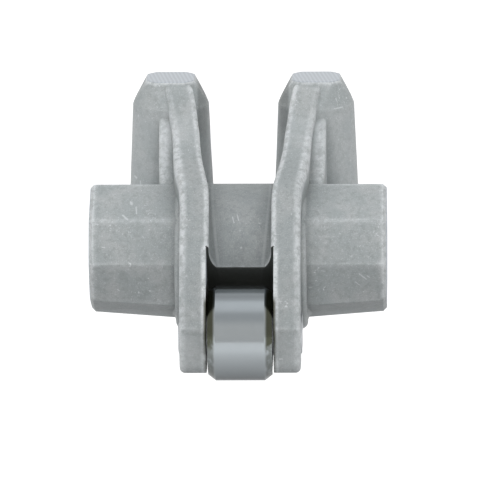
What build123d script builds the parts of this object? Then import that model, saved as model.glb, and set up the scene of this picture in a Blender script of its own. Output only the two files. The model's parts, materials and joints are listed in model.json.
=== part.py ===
from build123d import *

import os
from math import cos, pi, radians, sin, sqrt

os.makedirs("parts", exist_ok=True)

# Frame: X runs along the rocker shaft, +Y points from the cam side to the valve side, +Z is up.
# The origin is on the shaft axis, midway between the two ends of the hub. Millimetres.

OVERLAP = 1.0                   # how far a shape reaches into its neighbour, or a cutter past a face

# ---- Hub -------------------------------------------------------------------------------------
HUB_LENGTH = 71.0
HUB_SHIFT = 0.7                 # the left barrel reaches this much further than half the length
BORE_RADIUS = 10.0
BORE_CHAMFER = 0.8
HUB_RIDGE_RADIUS = 15.9         # shaft axis to the ridges of the forged eight-sided barrel
HUB_RIDGE_ANGLE = 39.0          # upper ridge, measured up from the parting line
HUB_CROWN = 0.25                # how far each side of the barrel bulges
HUB_EDGE_ROUND = 0.5
HUB_END_CHAMFER = 0.9
UNDERSIDE_AT_END = 15.5         # the underside falls away from the ears towards both ends
UNDERSIDE_AT_MIDDLE = 18.3
WAIST_RADIUS = 15.6             # plain round barrel between the two ears
WEB_HALF_WIDTH = 2.6            # plain part of the waist between the blends to the ears
WEB_BLEND_HEIGHT = 5.9          # how far a blend climbs the inner face of an ear
WEB_BLEND_SHIFT = 4.0           # the blends are full towards the roller and die out over the hub
COLLAR_RADIUS = 17.4            # thick root of each ear round the barrel
COLLAR_DROP = 1.9               # its middle hangs below the shaft axis
COLLAR_HALF_WIDTH = 15.8
COLLAR_ROUND = 1.6
COLLAR_BLEND = 2.2

# ---- Roller, needles and pin -------------------------------------------------------------------
ROLLER_Y = -20.0
ROLLER_Z = -15.7
ROLLER_RADIUS = 11.3
ROLLER_WIDTH = 15.3
ROLLER_EDGE_WIDTH = 1.8         # bevel beside the tread, measured along the axis
ROLLER_EDGE_DROP = 1.4
ROLLER_BORE_BEVEL = 0.4
NEEDLE_COUNT = 16
NEEDLE_RADIUS = 1.25
NEEDLE_LENGTH = 14.6
NEEDLE_BEVEL = 0.3
NEEDLE_SPACING = 0.04           # free space between neighbouring needles
NEEDLE_CLEARANCE = 0.02         # between a needle and each of its races
PIN_PROUD = 0.3                 # how far the pin's staked ends stand out of the ears
PIN_BEVEL = 0.5
PIN_STAKE_RADIUS = 3.6
PIN_STAKE_DEPTH = 0.8

# ---- Ears and ribs -----------------------------------------------------------------------------
SLOT_WIDTH = 16.0
SLOT_WALL = 2.8                 # metal left between the shaft bore and the floor of the slot
EAR_OUTER = 14.4                # half distance over the ears
FORGED_GAP = 14.8               # gap between the ribs as forged, beyond the milled slot
# Side outline as (Y, Z): up the front of the ear, over the hub and on towards the boss.
EAR_TOE = (-26.9, -24.4)
EAR_NOSE = (-29.0, -12.5)
RIB_BREAST = (-24.0, 1.5)
RIB_CREST = (-11.5, 17.8)
RIB_SADDLE = (6.5, 24.3)
RIB_NAPE = (13.5, 28.2)
RIB_HEAD_SET = 2.6              # front of the rib's top end behind the shoulder of the boss
RIB_HEAD_DROP = 0.8
RIB_TURNS = (3.8, 0.6, 12.0, 9.0, 8.0, 6.0, 2.4)    # radius at each of these corners, from the toe
# Back outline of ear and rib, from the boss down and under the hub.
HEEL = (10.8, -11.0)
UNDER_HUB = (0.0, -15.6)
BEHIND_ROLLER = (-8.0, -17.9)
EAR_SHANK_Y = -14.0             # the ear's faces run straight in front of this, and spread behind it
# Rib seen from above behind the straight ear: (Y, inner X, outer X).
RIB_AT_CREST = (-4.0, 8.6, 15.7)
RIB_AT_SADDLE = (7.0, 10.0, 16.6)
RIB_AT_NAPE = (14.0, 10.7, 17.4)
RIB_AT_HEAD = (18.5, 11.9, 18.9)
RIB_IN_BOSS = (14.6, 21.0)      # inner and outer X over the middle of the boss
RIB_EDGE_ROUND = 0.9
RIB_FLANK_ROUND = 1.3
TOE_TAPER_END = (13.1, -22.6)   # the ear's outer face tapers to this (X, Z) from the nose down,
TOE_CORNER_X = 11.2             # and is cut from there to this far out on its underside

# ---- Adjuster bosses ---------------------------------------------------------------------------
BOSS_SPACING = 35.2
BOSS_Y = 25.0
BOSS_BOTTOM = 6.0
BOSS_SHOULDER = 30.2
BOSS_TOP = 36.6
BOSS_MOUTH_RADIUS = 10.25
BOSS_SHOULDER_RADIUS = 9.2
BOSS_CROWN_RADIUS = 6.6         # corners of the milled top
BOSS_FLAT_WIDTH = 11.4
BOSS_FLAT_DEPTH = 11.2
BOSS_CAP_WIDTH = 18.7           # between the sloping sides of the cap, level with the shoulder
BOSS_ROUND = 0.8
DIMPLE_OFFSET = 4.0             # hardness-test dimple, outboard of the boss axis
DIMPLE_Z = 13.4
DIMPLE_BALL_RADIUS = 1.6
DIMPLE_DEPTH = 0.45
POCKET_RADIUS = 6.0
POCKET_ROOF = 31.2
GUSSET_TOP = 28.4               # where the web meets the front of the boss
GUSSET_FOOT = (-2.5, 12.9)      # where its top edge starts inside the hub
GUSSET_HALF_WIDTH = 20.5        # shaft middle to the outer face of the web
GUSSET_INNER = 13.5
GUSSET_DRAFT = 0.8
GUSSET_ROUND = 1.2

# ---- Oil gallery from the shaft bore through the pocket, drilled from the back of the boss ------
GALLERY_RADIUS = 1.25
GALLERY_MOUTH_Z = 17.5          # where it enters the front wall of the pocket
GALLERY_START_Y = 5.0           # where it leaves the shaft bore
PLUG_RADIUS = 1.5
PLUG_DEPTH = 1.9                # middle of the plug below the outside of the boss

# ---- Lash adjuster, at rest pushed out against its clip ----------------------------------------
ADJUSTER_TRAVEL = 2.5
RUNNING_GAP = 0.02
CLIP_INNER = 5.4
CLIP_OUTER = 6.65
CLIP_HEIGHT = 0.8
CLIP_BOTTOM = 7.2
CLIP_SLIT = 2.0
CLIP_GAP = 0.05
SHANK_RADIUS = 5.2
SHANK_BOTTOM = 6.6
ADJUSTER_BORE = 4.22
CHAMBER_FLOOR = 10.2
FEED_GROOVE = (14.5, 21.5)
FEED_GROOVE_DEPTH = 0.5
FEED_HOLE_Z = 20.5
FEED_HOLE_RADIUS = 0.8
PLUNGER_BOTTOM = 17.0
PLUNGER_SEAT = 17.5
RESERVOIR_RADIUS = 2.6
RESERVOIR_FLOOR = 18.8
PLUNGER_GROOVE = (19.5, 24.0)
PLUNGER_GROOVE_DEPTH = 0.4
PLUNGER_HOLE_Z = 22.0
PLUNGER_SLIT = 1.6
PORT_RADIUS = 1.0
CHECK_BALL_RADIUS = 1.5
CHECK_LIFT = 0.25
CAGE_FLANGE = 0.4
CAGE_WALL = 0.4
CAGE_INNER = 1.72
CAGE_FLOOR = 13.4
CAGE_WINDOW = 1.1
CAGE_RIM_RADIUS = 3.25
CHECK_SPRING_RADIUS = 0.9
CHECK_SPRING_WIRE = 0.12
CHECK_SPRING_TURNS = 3.5
PLUNGER_SPRING_RADIUS = 3.2
PLUNGER_SPRING_WIRE = 0.35
PLUNGER_SPRING_TURNS = 4.5
PIVOT_Z = 2.6                   # middle of the ball end
PIVOT_RADIUS = 3.0
PIVOT_NECK = 1.8
SOCKET_GAP = 0.04
FOOT_RADIUS = 4.9
FOOT_FACE_Z = -1.4
FOOT_RIM_Z = 4.2
FOOT_RIM_RADIUS = 3.9

SIDES = {"left": -1, "right": 1}


def side_plane(x):
    """Plane across the shaft at x, with its own axes along Y and Z."""
    return Plane(origin=(x, 0, 0), x_dir=(0, 1, 0), z_dir=(1, 0, 0))


# ---- Forging -----------------------------------------------------------------------------------
def hub_section(x, radius, underside):
    """Eight crowned sides with rounded ridges; the lower four follow the underside radius."""
    along = cos(radians(HUB_RIDGE_ANGLE))
    up = sin(radians(HUB_RIDGE_ANGLE))
    corners = [
        (-radius, 0), (-radius * along, radius * up), (0, radius), (radius * along, radius * up),
        (radius, 0), (underside * along, -underside * up), (0, -underside),
        (-underside * along, -underside * up),
    ]
    sides = []
    for start, end in zip(corners, corners[1:] + corners[:1]):
        middle = Vector((start[0] + end[0]) / 2, (start[1] + end[1]) / 2)
        bulge = middle + middle.normalized() * HUB_CROWN
        sides.append(ThreePointArc(start, (bulge.X, bulge.Y), end))
    face = make_face(Wire(sides))
    return side_plane(x) * fillet(face.vertices(), HUB_EDGE_ROUND)


def barrel(reach):
    """Part of the hub on the right side, from inside the ear to its chamfered end face this far out."""
    inner = FORGED_GAP / 2 + OVERLAP
    slope = (UNDERSIDE_AT_END - UNDERSIDE_AT_MIDDLE) / reach
    rim = reach - HUB_END_CHAMFER
    sections = [
        hub_section(inner, HUB_RIDGE_RADIUS, UNDERSIDE_AT_MIDDLE + slope * inner),
        hub_section(rim, HUB_RIDGE_RADIUS, UNDERSIDE_AT_MIDDLE + slope * rim),
        hub_section(reach, HUB_RIDGE_RADIUS - HUB_END_CHAMFER, UNDERSIDE_AT_END - HUB_END_CHAMFER),
    ]
    return loft(sections, ruled=True)


def collar():
    """Round root of the ear, hung a little below the shaft axis and blended down to the barrel."""
    crest = COLLAR_HALF_WIDTH
    rim = COLLAR_RADIUS
    side = COLLAR_ROUND
    foot = COLLAR_BLEND
    buried = HUB_RIDGE_RADIUS - 2 * HUB_CROWN - COLLAR_DROP
    outline = Polyline((FORGED_GAP / 2, 0), (FORGED_GAP / 2, rim), (crest - side, rim))
    shoulder = RadiusArc((crest - side, rim), (crest, rim - side), side)
    drop = Line((crest, rim - side), (crest, buried + foot))
    blend = RadiusArc((crest, buried + foot), (crest + foot, buried), -foot)
    close = Polyline((crest + foot, buried), (crest + foot, 0), (FORGED_GAP / 2, 0))
    face = make_face(Wire([*outline.edges(), shoulder, drop, blend, *close.edges()]))
    return Pos(0, 0, -COLLAR_DROP) * revolve(face, Axis.X)


def towards_roller():
    return Vector(0, ROLLER_Y, ROLLER_Z).normalized()


def web_blend():
    """Concave blend from the waist up the inner face of the right ear and rib."""
    wall = FORGED_GAP / 2
    foot = WAIST_RADIUS - WEB_BLEND_SHIFT
    top = foot + WEB_BLEND_HEIGHT
    inside = BORE_RADIUS - WEB_BLEND_SHIFT
    sweep_up = Spline((WEB_HALF_WIDTH, foot), (wall, top), tangents=[(1, 0), (0, 1)])
    close = Polyline(
        (wall, top), (wall + OVERLAP, top), (wall + OVERLAP, inside), (WEB_HALF_WIDTH, inside),
        (WEB_HALF_WIDTH, foot),
    )
    ring = revolve(make_face(Wire([*sweep_up.edges(), *close.edges()])), Axis.X)
    shift = towards_roller() * WEB_BLEND_SHIFT
    return Pos(shift) * ring & across(rib_profile())


def across(profile):
    """Right half of a bar along the shaft with this side profile."""
    return extrude(side_plane(0) * profile, amount=HUB_LENGTH / 2)


def upright(plan):
    """Bar along Z with this plan, taller than the rocker."""
    return Pos(0, 0, -2 * BOSS_TOP) * extrude(plan, amount=4 * BOSS_TOP)


def rib_profile():
    """Side outline of an ear and its rib: front edge from the ear's nose over the hub to the boss top."""
    shoulder_y = BOSS_Y - BOSS_SHOULDER_RADIUS
    under_ear = (ROLLER_Y, EAR_TOE[1])
    front = FilletPolyline(
        under_ear, EAR_TOE, EAR_NOSE, RIB_BREAST, RIB_CREST, RIB_SADDLE, RIB_NAPE,
        (shoulder_y + RIB_HEAD_SET, BOSS_TOP - RIB_HEAD_DROP), (BOSS_Y, BOSS_TOP),
        radius=RIB_TURNS,
    )
    back = Polyline(
        (BOSS_Y, BOSS_TOP), (BOSS_Y, BOSS_BOTTOM + OVERLAP),
        (shoulder_y + OVERLAP, BOSS_BOTTOM + OVERLAP / 2), HEEL, UNDER_HUB, BEHIND_ROLLER, under_ear,
    )
    return make_face(Wire([*front.edges(), *back.edges()]))


def rib_plan():
    """Plan outline of the right rib: straight over the ear, then spreading towards the boss."""
    gap = FORGED_GAP / 2
    far_front = 2 * ROLLER_Y
    stations = [RIB_AT_CREST, RIB_AT_SADDLE, RIB_AT_NAPE, RIB_AT_HEAD, (BOSS_Y, *RIB_IN_BOSS)]
    inner_points = [(gap, EAR_SHANK_Y)] + [(inner, y) for y, inner, outer in stations]
    outer_points = [(EAR_OUTER, EAR_SHANK_Y)] + [(outer, y) for y, inner, outer in stations]
    return make_face(Wire([
        Line((gap, far_front), inner_points[0]),
        Spline(*inner_points, tangents=[(0, 1), (0.3, 1)]),
        Line(inner_points[-1], outer_points[-1]),
        Spline(*outer_points[::-1], tangents=[(-0.3, -1), (0, -1)]),
        Line(outer_points[0], (EAR_OUTER, far_front)),
        Line((EAR_OUTER, far_front), (gap, far_front)),
    ]))


def plate_rim(flanks):
    """Edges round the side of a plate, apart from upright ones, ones straight across and buried ones."""
    edges = flanks.edges().filter_by(lambda edge: abs(edge.tangent_at(0.5).X) < 0.999)
    edges = edges.filter_by(lambda edge: abs(edge.tangent_at(0.5).Z) < 0.999)
    return edges.filter_by(lambda edge: edge.center().Y < BOSS_Y - BOSS_SHOULDER_RADIUS + 2)


def rib():
    """Right ear and rib in one plate, with rounded edges."""
    body = across(rib_profile()) & upright(rib_plan())
    inner = plate_rim(body.faces().filter_by(lambda face: face.normal_at().X < -0.7))
    body = fillet(inner, RIB_EDGE_ROUND)
    outer = plate_rim(body.faces().filter_by(lambda face: face.normal_at().X > 0.7))
    return fillet(outer, RIB_FLANK_ROUND) - toe_taper()


def toe_taper():
    """Cutter that narrows the lower end of the right ear towards its outer corner."""
    nose_z, bottom = EAR_NOSE[1], EAR_TOE[1]
    wide = 2 * EAR_OUTER
    waste = Polyline(
        (EAR_OUTER, nose_z), TOE_TAPER_END, (TOE_CORNER_X, bottom), (TOE_CORNER_X, bottom - OVERLAP),
        (wide, bottom - OVERLAP), (wide, nose_z), close=True
    )
    return extrude(Plane.XZ * make_face(waste), amount=wide)


def gusset():
    """Web that ties the boss to the hub outside the rib, with a sloping top."""
    front = BOSS_Y - BOSS_SHOULDER_RADIUS
    side = Polyline(
        GUSSET_FOOT, (front, GUSSET_TOP), (BOSS_Y, GUSSET_TOP), (BOSS_Y, BOSS_BOTTOM + OVERLAP),
        (front + OVERLAP, BOSS_BOTTOM + OVERLAP / 2), HEEL, (0, -BORE_RADIUS), close=True
    )
    plan = Polyline(
        (GUSSET_INNER, GUSSET_FOOT[0]), (GUSSET_HALF_WIDTH - GUSSET_DRAFT, GUSSET_FOOT[0]),
        (GUSSET_HALF_WIDTH, BOSS_Y), (GUSSET_INNER, BOSS_Y), close=True
    )
    body = across(make_face(side)) & upright(make_face(plan))
    outer = body.faces().filter_by(lambda face: face.normal_at().X > 0.9)
    high = outer.edges().filter_by(lambda edge: edge.center().Z > HUB_RIDGE_RADIUS)
    top = high.filter_by(lambda edge: edge.center().Y < front)
    return fillet(top, GUSSET_ROUND)


def turned(points):
    """Solid of revolution about Z from its half outline, given as radius and height."""
    return revolve(make_face(Plane.XZ * Polyline(*points, close=True)), Axis.Z)


def boss():
    """Right boss: drafted round barrel under a cap that narrows on four sides to the milled top."""
    body = turned([
        (0, BOSS_BOTTOM), (BOSS_MOUTH_RADIUS, BOSS_BOTTOM), (BOSS_SHOULDER_RADIUS, BOSS_SHOULDER),
        (BOSS_CROWN_RADIUS, BOSS_TOP), (0, BOSS_TOP),
    ])
    rims = body.edges().filter_by(GeomType.CIRCLE).sort_by(Axis.Z)
    body = fillet([rims[0], rims[1]], BOSS_ROUND)
    cap = loft([
        Pos(0, 0, BOSS_SHOULDER) * Rectangle(BOSS_CAP_WIDTH, BOSS_CAP_WIDTH),
        Pos(0, 0, BOSS_TOP) * Rectangle(BOSS_FLAT_WIDTH, BOSS_FLAT_DEPTH),
    ], ruled=True)
    wide = 4 * BOSS_MOUTH_RADIUS
    below = Box(wide, wide, BOSS_SHOULDER, align=(Align.CENTER, Align.CENTER, Align.MIN))
    return Pos(BOSS_SPACING / 2, BOSS_Y, 0) * (body & (cap + below))


def dimple():
    """Ball that leaves the hardness-test dimple in the front of the right boss."""
    radius = boss_radius(DIMPLE_Z) + DIMPLE_BALL_RADIUS - DIMPLE_DEPTH
    forward = sqrt(radius**2 - DIMPLE_OFFSET**2)
    return Pos(BOSS_SPACING / 2 + DIMPLE_OFFSET, BOSS_Y - forward, DIMPLE_Z) * Sphere(DIMPLE_BALL_RADIUS)


def pocket():
    """Blind pocket of the right boss, with the groove for the retaining clip."""
    groove = CLIP_OUTER + CLIP_GAP
    cut = turned([
        (0, BOSS_BOTTOM - OVERLAP), (POCKET_RADIUS, BOSS_BOTTOM - OVERLAP),
        (POCKET_RADIUS, CLIP_BOTTOM - CLIP_GAP),
        (groove, CLIP_BOTTOM - CLIP_GAP), (groove, CLIP_BOTTOM + CLIP_HEIGHT + CLIP_GAP),
        (POCKET_RADIUS, CLIP_BOTTOM + CLIP_HEIGHT + CLIP_GAP), (POCKET_RADIUS, POCKET_ROOF),
        (0, POCKET_ROOF),
    ])
    return Pos(BOSS_SPACING / 2, BOSS_Y, 0) * cut


def gallery_line():
    """Start of the right oil gallery in the shaft bore, and its direction towards the back of the boss."""
    start = Vector(BOSS_SPACING / 2, GALLERY_START_Y, sqrt(BORE_RADIUS**2 - GALLERY_START_Y**2))
    mouth = Vector(BOSS_SPACING / 2, BOSS_Y - POCKET_RADIUS, GALLERY_MOUTH_Z)
    return start, (mouth - start).normalized()


def boss_radius(z):
    """Outer radius of the drafted barrel of a boss at height z."""
    share = (z - BOSS_BOTTOM) / (BOSS_SHOULDER - BOSS_BOTTOM)
    return BOSS_MOUTH_RADIUS + (BOSS_SHOULDER_RADIUS - BOSS_MOUTH_RADIUS) * share


def plug_place():
    """Middle of the right gallery plug, set in from the back of the boss."""
    start, along = gallery_line()
    back = BOSS_Y + boss_radius((BOSS_SHOULDER + GALLERY_MOUTH_Z) / 2)
    reach = (back - start.Y) / along.Y - PLUG_DEPTH
    return start + along * reach


def gallery():
    """Drilling of the right side, with a wider seat for its plug at the back."""
    start, along = gallery_line()
    from_start = (Align.CENTER, Align.CENTER, Align.MIN)
    drill = Plane(origin=start - along * GALLERY_RADIUS * 2, z_dir=along) * Cylinder(
        GALLERY_RADIUS, 2 * BOSS_Y, align=from_start
    )
    depth = sqrt(PLUG_RADIUS**2 - GALLERY_RADIUS**2) + RUNNING_GAP
    seat = Plane(origin=plug_place() - along * depth, z_dir=along) * Cylinder(
        PLUG_RADIUS, BOSS_MOUTH_RADIUS, align=from_start
    )
    return drill + seat


def slot():
    """Milled slot for the roller, its floor square to the line from the shaft to the roller."""
    outward = towards_roller()
    floor = Plane(origin=outward * (BORE_RADIUS + SLOT_WALL), x_dir=(1, 0, 0), z_dir=outward)
    return floor * Box(SLOT_WIDTH, 4 * BOSS_TOP, 2 * BOSS_TOP, align=(Align.CENTER, Align.CENTER, Align.MIN))


def along_shaft(radius, length):
    """Round bar along X through the shaft axis."""
    return Rot(0, 90, 0) * Cylinder(radius, length)


def rocker_body():
    """The forging with everything that is machined into it."""
    arm = collar() + rib() + gusset() + boss() + web_blend()
    right = arm + barrel(HUB_LENGTH / 2 - HUB_SHIFT)
    left = arm + barrel(HUB_LENGTH / 2 + HUB_SHIFT)
    body = right + mirror(left, about=Plane.YZ) + along_shaft(WAIST_RADIUS, FORGED_GAP + 3 * OVERLAP)
    body = body - slot() - along_shaft(BORE_RADIUS, HUB_LENGTH + 2 * OVERLAP)
    for cut in (pocket(), gallery(), dimple()):
        body = body - cut - mirror(cut, about=Plane.YZ)
    body = body - Pos(0, ROLLER_Y, ROLLER_Z) * along_shaft(pin_radius(), 4 * EAR_OUTER)
    bore_rims = body.edges().filter_by(GeomType.CIRCLE).filter_by(lambda edge: edge.radius == BORE_RADIUS)
    mouths = bore_rims.filter_by(lambda edge: abs(edge.center().X) > HUB_LENGTH / 2 - HUB_END_CHAMFER)
    return chamfer(mouths, BORE_CHAMFER)


# ---- Roller, needles and pin --------------------------------------------------------------------
def needle_pitch():
    """Radius of the ring of needle middles that leaves the wanted space between needles."""
    return (NEEDLE_RADIUS + NEEDLE_SPACING / 2) / sin(pi / NEEDLE_COUNT)


def pin_radius():
    return needle_pitch() - NEEDLE_RADIUS - NEEDLE_CLEARANCE


def at_roller(piece):
    """Place a piece turned about Z onto the roller's axis."""
    return Pos(0, ROLLER_Y, ROLLER_Z) * Rot(0, 90, 0) * piece


def roller():
    half = ROLLER_WIDTH / 2
    bore = needle_pitch() + NEEDLE_RADIUS + NEEDLE_CLEARANCE
    rim = ROLLER_RADIUS - ROLLER_EDGE_DROP
    return at_roller(turned([
        (bore + ROLLER_BORE_BEVEL, -half), (rim, -half), (ROLLER_RADIUS, -half + ROLLER_EDGE_WIDTH),
        (ROLLER_RADIUS, half - ROLLER_EDGE_WIDTH), (rim, half), (bore + ROLLER_BORE_BEVEL, half),
        (bore, half - ROLLER_BORE_BEVEL), (bore, -half + ROLLER_BORE_BEVEL),
    ]))


def needle(number):
    half = NEEDLE_LENGTH / 2
    rod = turned([
        (0, -half), (NEEDLE_RADIUS - NEEDLE_BEVEL, -half), (NEEDLE_RADIUS, -half + NEEDLE_BEVEL),
        (NEEDLE_RADIUS, half - NEEDLE_BEVEL), (NEEDLE_RADIUS - NEEDLE_BEVEL, half), (0, half),
    ])
    turn = 360 * number / NEEDLE_COUNT
    return at_roller(Rot(0, 0, turn) * Pos(needle_pitch(), 0, 0) * rod)


def roller_pin():
    """Pin with rounded ends that are staked open round a centre dimple."""
    half = EAR_OUTER + PIN_PROUD
    radius = pin_radius()
    return at_roller(turned([
        (0, -half + PIN_STAKE_DEPTH), (PIN_STAKE_RADIUS - PIN_STAKE_DEPTH, -half + PIN_STAKE_DEPTH),
        (PIN_STAKE_RADIUS, -half), (radius - PIN_BEVEL, -half), (radius, -half + PIN_BEVEL),
        (radius, half - PIN_BEVEL), (radius - PIN_BEVEL, half), (PIN_STAKE_RADIUS, half),
        (PIN_STAKE_RADIUS - PIN_STAKE_DEPTH, half - PIN_STAKE_DEPTH), (0, half - PIN_STAKE_DEPTH),
    ]))


# ---- Lash adjuster, modelled on the pocket's own axis ---------------------------------------------
def adjuster_body():
    """Sliding cup: feed groove outside, oil chamber inside, ball end underneath."""
    outer = POCKET_RADIUS - RUNNING_GAP
    shoulder = CLIP_BOTTOM + CLIP_HEIGHT + CLIP_GAP
    top = POCKET_ROOF - ADJUSTER_TRAVEL - CLIP_HEIGHT
    groove = outer - FEED_GROOVE_DEPTH
    neck = PIVOT_Z + sqrt(PIVOT_RADIUS**2 - PIVOT_NECK**2)
    cup = turned([
        (0, neck), (PIVOT_NECK, neck), (PIVOT_NECK, SHANK_BOTTOM), (SHANK_RADIUS, SHANK_BOTTOM),
        (SHANK_RADIUS, shoulder), (outer, shoulder), (outer, FEED_GROOVE[0]), (groove, FEED_GROOVE[0]),
        (groove, FEED_GROOVE[1]), (outer, FEED_GROOVE[1]), (outer, top), (ADJUSTER_BORE, top),
        (ADJUSTER_BORE, CHAMBER_FLOOR), (0, CHAMBER_FLOOR),
    ])
    hole = Pos(0, -outer, FEED_HOLE_Z) * Rot(90, 0, 0) * Cylinder(FEED_HOLE_RADIUS, outer)
    return cup + Pos(0, 0, PIVOT_Z) * Sphere(PIVOT_RADIUS) - hole


def adjuster_plunger():
    """Hollow plunger that stands against the pocket's roof and holds the oil reserve."""
    outer = ADJUSTER_BORE - RUNNING_GAP
    groove = outer - PLUNGER_GROOVE_DEPTH
    recess = CAGE_RIM_RADIUS + RUNNING_GAP
    sleeve = turned([
        (PORT_RADIUS, PLUNGER_SEAT), (recess, PLUNGER_SEAT), (recess, PLUNGER_BOTTOM),
        (outer, PLUNGER_BOTTOM), (outer, PLUNGER_GROOVE[0]), (groove, PLUNGER_GROOVE[0]),
        (groove, PLUNGER_GROOVE[1]), (outer, PLUNGER_GROOVE[1]), (outer, POCKET_ROOF),
        (RESERVOIR_RADIUS, POCKET_ROOF), (RESERVOIR_RADIUS, RESERVOIR_FLOOR), (PORT_RADIUS, RESERVOIR_FLOOR),
    ])
    hole = Pos(0, -outer, PLUNGER_HOLE_Z) * Rot(90, 0, 0) * Cylinder(FEED_HOLE_RADIUS, outer)
    vent = Pos(0, 0, POCKET_ROOF) * Box(3 * outer, PLUNGER_SLIT, PLUNGER_SLIT)
    return sleeve - hole - vent


def check_ball_z():
    """Height of the closed check ball, a running gap under the edge of its port."""
    return PLUNGER_SEAT - sqrt(CHECK_BALL_RADIUS**2 - PORT_RADIUS**2) - RUNNING_GAP


def ball_cage():
    """Thin cap under the plunger that keeps the check ball and its spring."""
    outer = CAGE_INNER + CAGE_WALL
    under = PLUNGER_SEAT - CAGE_FLANGE
    cap = turned([
        (0, CAGE_FLOOR - CAGE_WALL), (outer, CAGE_FLOOR - CAGE_WALL), (outer, under),
        (CAGE_RIM_RADIUS, under), (CAGE_RIM_RADIUS, PLUNGER_SEAT), (CAGE_INNER, PLUNGER_SEAT),
        (CAGE_INNER, CAGE_FLOOR), (0, CAGE_FLOOR),
    ])
    window = Pos(0, 0, CAGE_FLOOR + CAGE_WINDOW) * Box(4 * outer, CAGE_WINDOW, 2 * CAGE_WINDOW)
    return cap - window - Rot(0, 0, 90) * window


def coil(radius, wire, turns, bottom, top):
    """Compression spring between two faces, from six-sided wire."""
    height = top - bottom - 2 * wire
    path = Helix(pitch=height / turns, height=height, radius=radius)
    across = Plane(origin=path @ 0, z_dir=path % 0)
    section = across * RegularPolygon(wire, 6)
    return Pos(0, 0, bottom + wire) * sweep(section, path=path, is_frenet=True)


def adjuster_clip():
    """Split ring in the pocket's groove that keeps the adjuster from falling out."""
    ring = turned([
        (CLIP_INNER, CLIP_BOTTOM), (CLIP_OUTER, CLIP_BOTTOM), (CLIP_OUTER, CLIP_BOTTOM + CLIP_HEIGHT),
        (CLIP_INNER, CLIP_BOTTOM + CLIP_HEIGHT),
    ])
    return ring - Pos(0, CLIP_OUTER, CLIP_BOTTOM) * Box(CLIP_SLIT, CLIP_OUTER, 4 * CLIP_HEIGHT)


def swivel_foot():
    """Pad on the valve stem, snapped over the ball end of the adjuster."""
    pad = turned([
        (0, FOOT_FACE_Z), (FOOT_RADIUS - 0.7, FOOT_FACE_Z), (FOOT_RADIUS, FOOT_FACE_Z + 0.5),
        (FOOT_RADIUS, PIVOT_Z - 0.6), (FOOT_RIM_RADIUS, FOOT_RIM_Z), (0, FOOT_RIM_Z),
    ])
    return pad - Pos(0, 0, PIVOT_Z) * Sphere(PIVOT_RADIUS + SOCKET_GAP)


def adjuster_pieces():
    """Every piece of one lash adjuster by name, about the axis of its pocket."""
    return {
        "adjuster_body": adjuster_body(),
        "adjuster_plunger": adjuster_plunger(),
        "adjuster_clip": adjuster_clip(),
        "ball_cage": ball_cage(),
        "check_ball": Pos(0, 0, check_ball_z()) * Sphere(CHECK_BALL_RADIUS),
        "check_spring": coil(
            CHECK_SPRING_RADIUS, CHECK_SPRING_WIRE, CHECK_SPRING_TURNS, CAGE_FLOOR,
            check_ball_z() - sqrt(CHECK_BALL_RADIUS**2 - CHECK_SPRING_RADIUS**2),
        ),
        "plunger_spring": coil(
            PLUNGER_SPRING_RADIUS, PLUNGER_SPRING_WIRE, PLUNGER_SPRING_TURNS, CHAMBER_FLOOR,
            PLUNGER_SEAT - CAGE_FLANGE,
        ),
        "swivel_foot": swivel_foot(),
    }


def save(name, solid):
    export_step(solid, f"parts/{name}.step")


def main():
    save("rocker_body", rocker_body())
    save("roller", roller())
    save("roller_pin", roller_pin())
    for number in range(NEEDLE_COUNT):
        save(f"needle_{number + 1:02d}", needle(number))
    for side, sign in SIDES.items():
        place = Pos(sign * BOSS_SPACING / 2, BOSS_Y, 0)
        for name, piece in adjuster_pieces().items():
            save(f"{name}_{side}", place * piece)
        plug = plug_place()
        save(f"gallery_plug_{side}", Pos(sign * plug.X, plug.Y, plug.Z) * Sphere(PLUG_RADIUS))


main()
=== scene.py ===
import bpy
import json
import math
from collections import namedtuple
from mathutils import Matrix, Vector


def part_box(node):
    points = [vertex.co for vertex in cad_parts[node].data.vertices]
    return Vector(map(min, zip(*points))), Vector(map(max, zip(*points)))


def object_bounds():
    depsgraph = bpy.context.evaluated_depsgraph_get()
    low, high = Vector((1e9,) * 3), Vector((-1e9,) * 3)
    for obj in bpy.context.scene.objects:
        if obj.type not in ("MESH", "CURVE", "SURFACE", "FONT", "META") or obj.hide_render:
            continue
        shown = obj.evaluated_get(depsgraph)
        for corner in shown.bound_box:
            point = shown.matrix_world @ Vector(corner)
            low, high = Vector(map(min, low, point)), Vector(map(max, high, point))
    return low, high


MM = 0.001

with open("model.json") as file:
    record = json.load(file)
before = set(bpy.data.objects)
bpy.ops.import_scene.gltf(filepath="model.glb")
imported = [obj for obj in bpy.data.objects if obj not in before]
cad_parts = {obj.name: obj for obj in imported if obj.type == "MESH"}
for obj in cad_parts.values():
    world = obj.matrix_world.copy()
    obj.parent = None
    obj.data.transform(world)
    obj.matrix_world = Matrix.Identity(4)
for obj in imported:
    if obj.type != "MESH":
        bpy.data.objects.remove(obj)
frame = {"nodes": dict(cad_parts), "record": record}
nodes = frame["nodes"]
packed_low, packed_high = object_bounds()

# ---- Driving sizes, read from the frame --------------------------------------------------------
hub_low, hub_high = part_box("rocker_body")
roller_low, roller_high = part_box("roller")
HUB_LEFT_END, HUB_RIGHT_END = hub_low.x, hub_high.x
BOSS_TOP = hub_high.z
ROLLER_MIDDLE = (roller_low + roller_high) / 2
ROLLER_RADIUS = (roller_high.z - roller_low.z) / 2
ROLLER_SIDE = roller_high.x
TO_ROLLER = Vector((0, ROLLER_MIDDLE.y, ROLLER_MIDDLE.z)).normalized()

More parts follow.
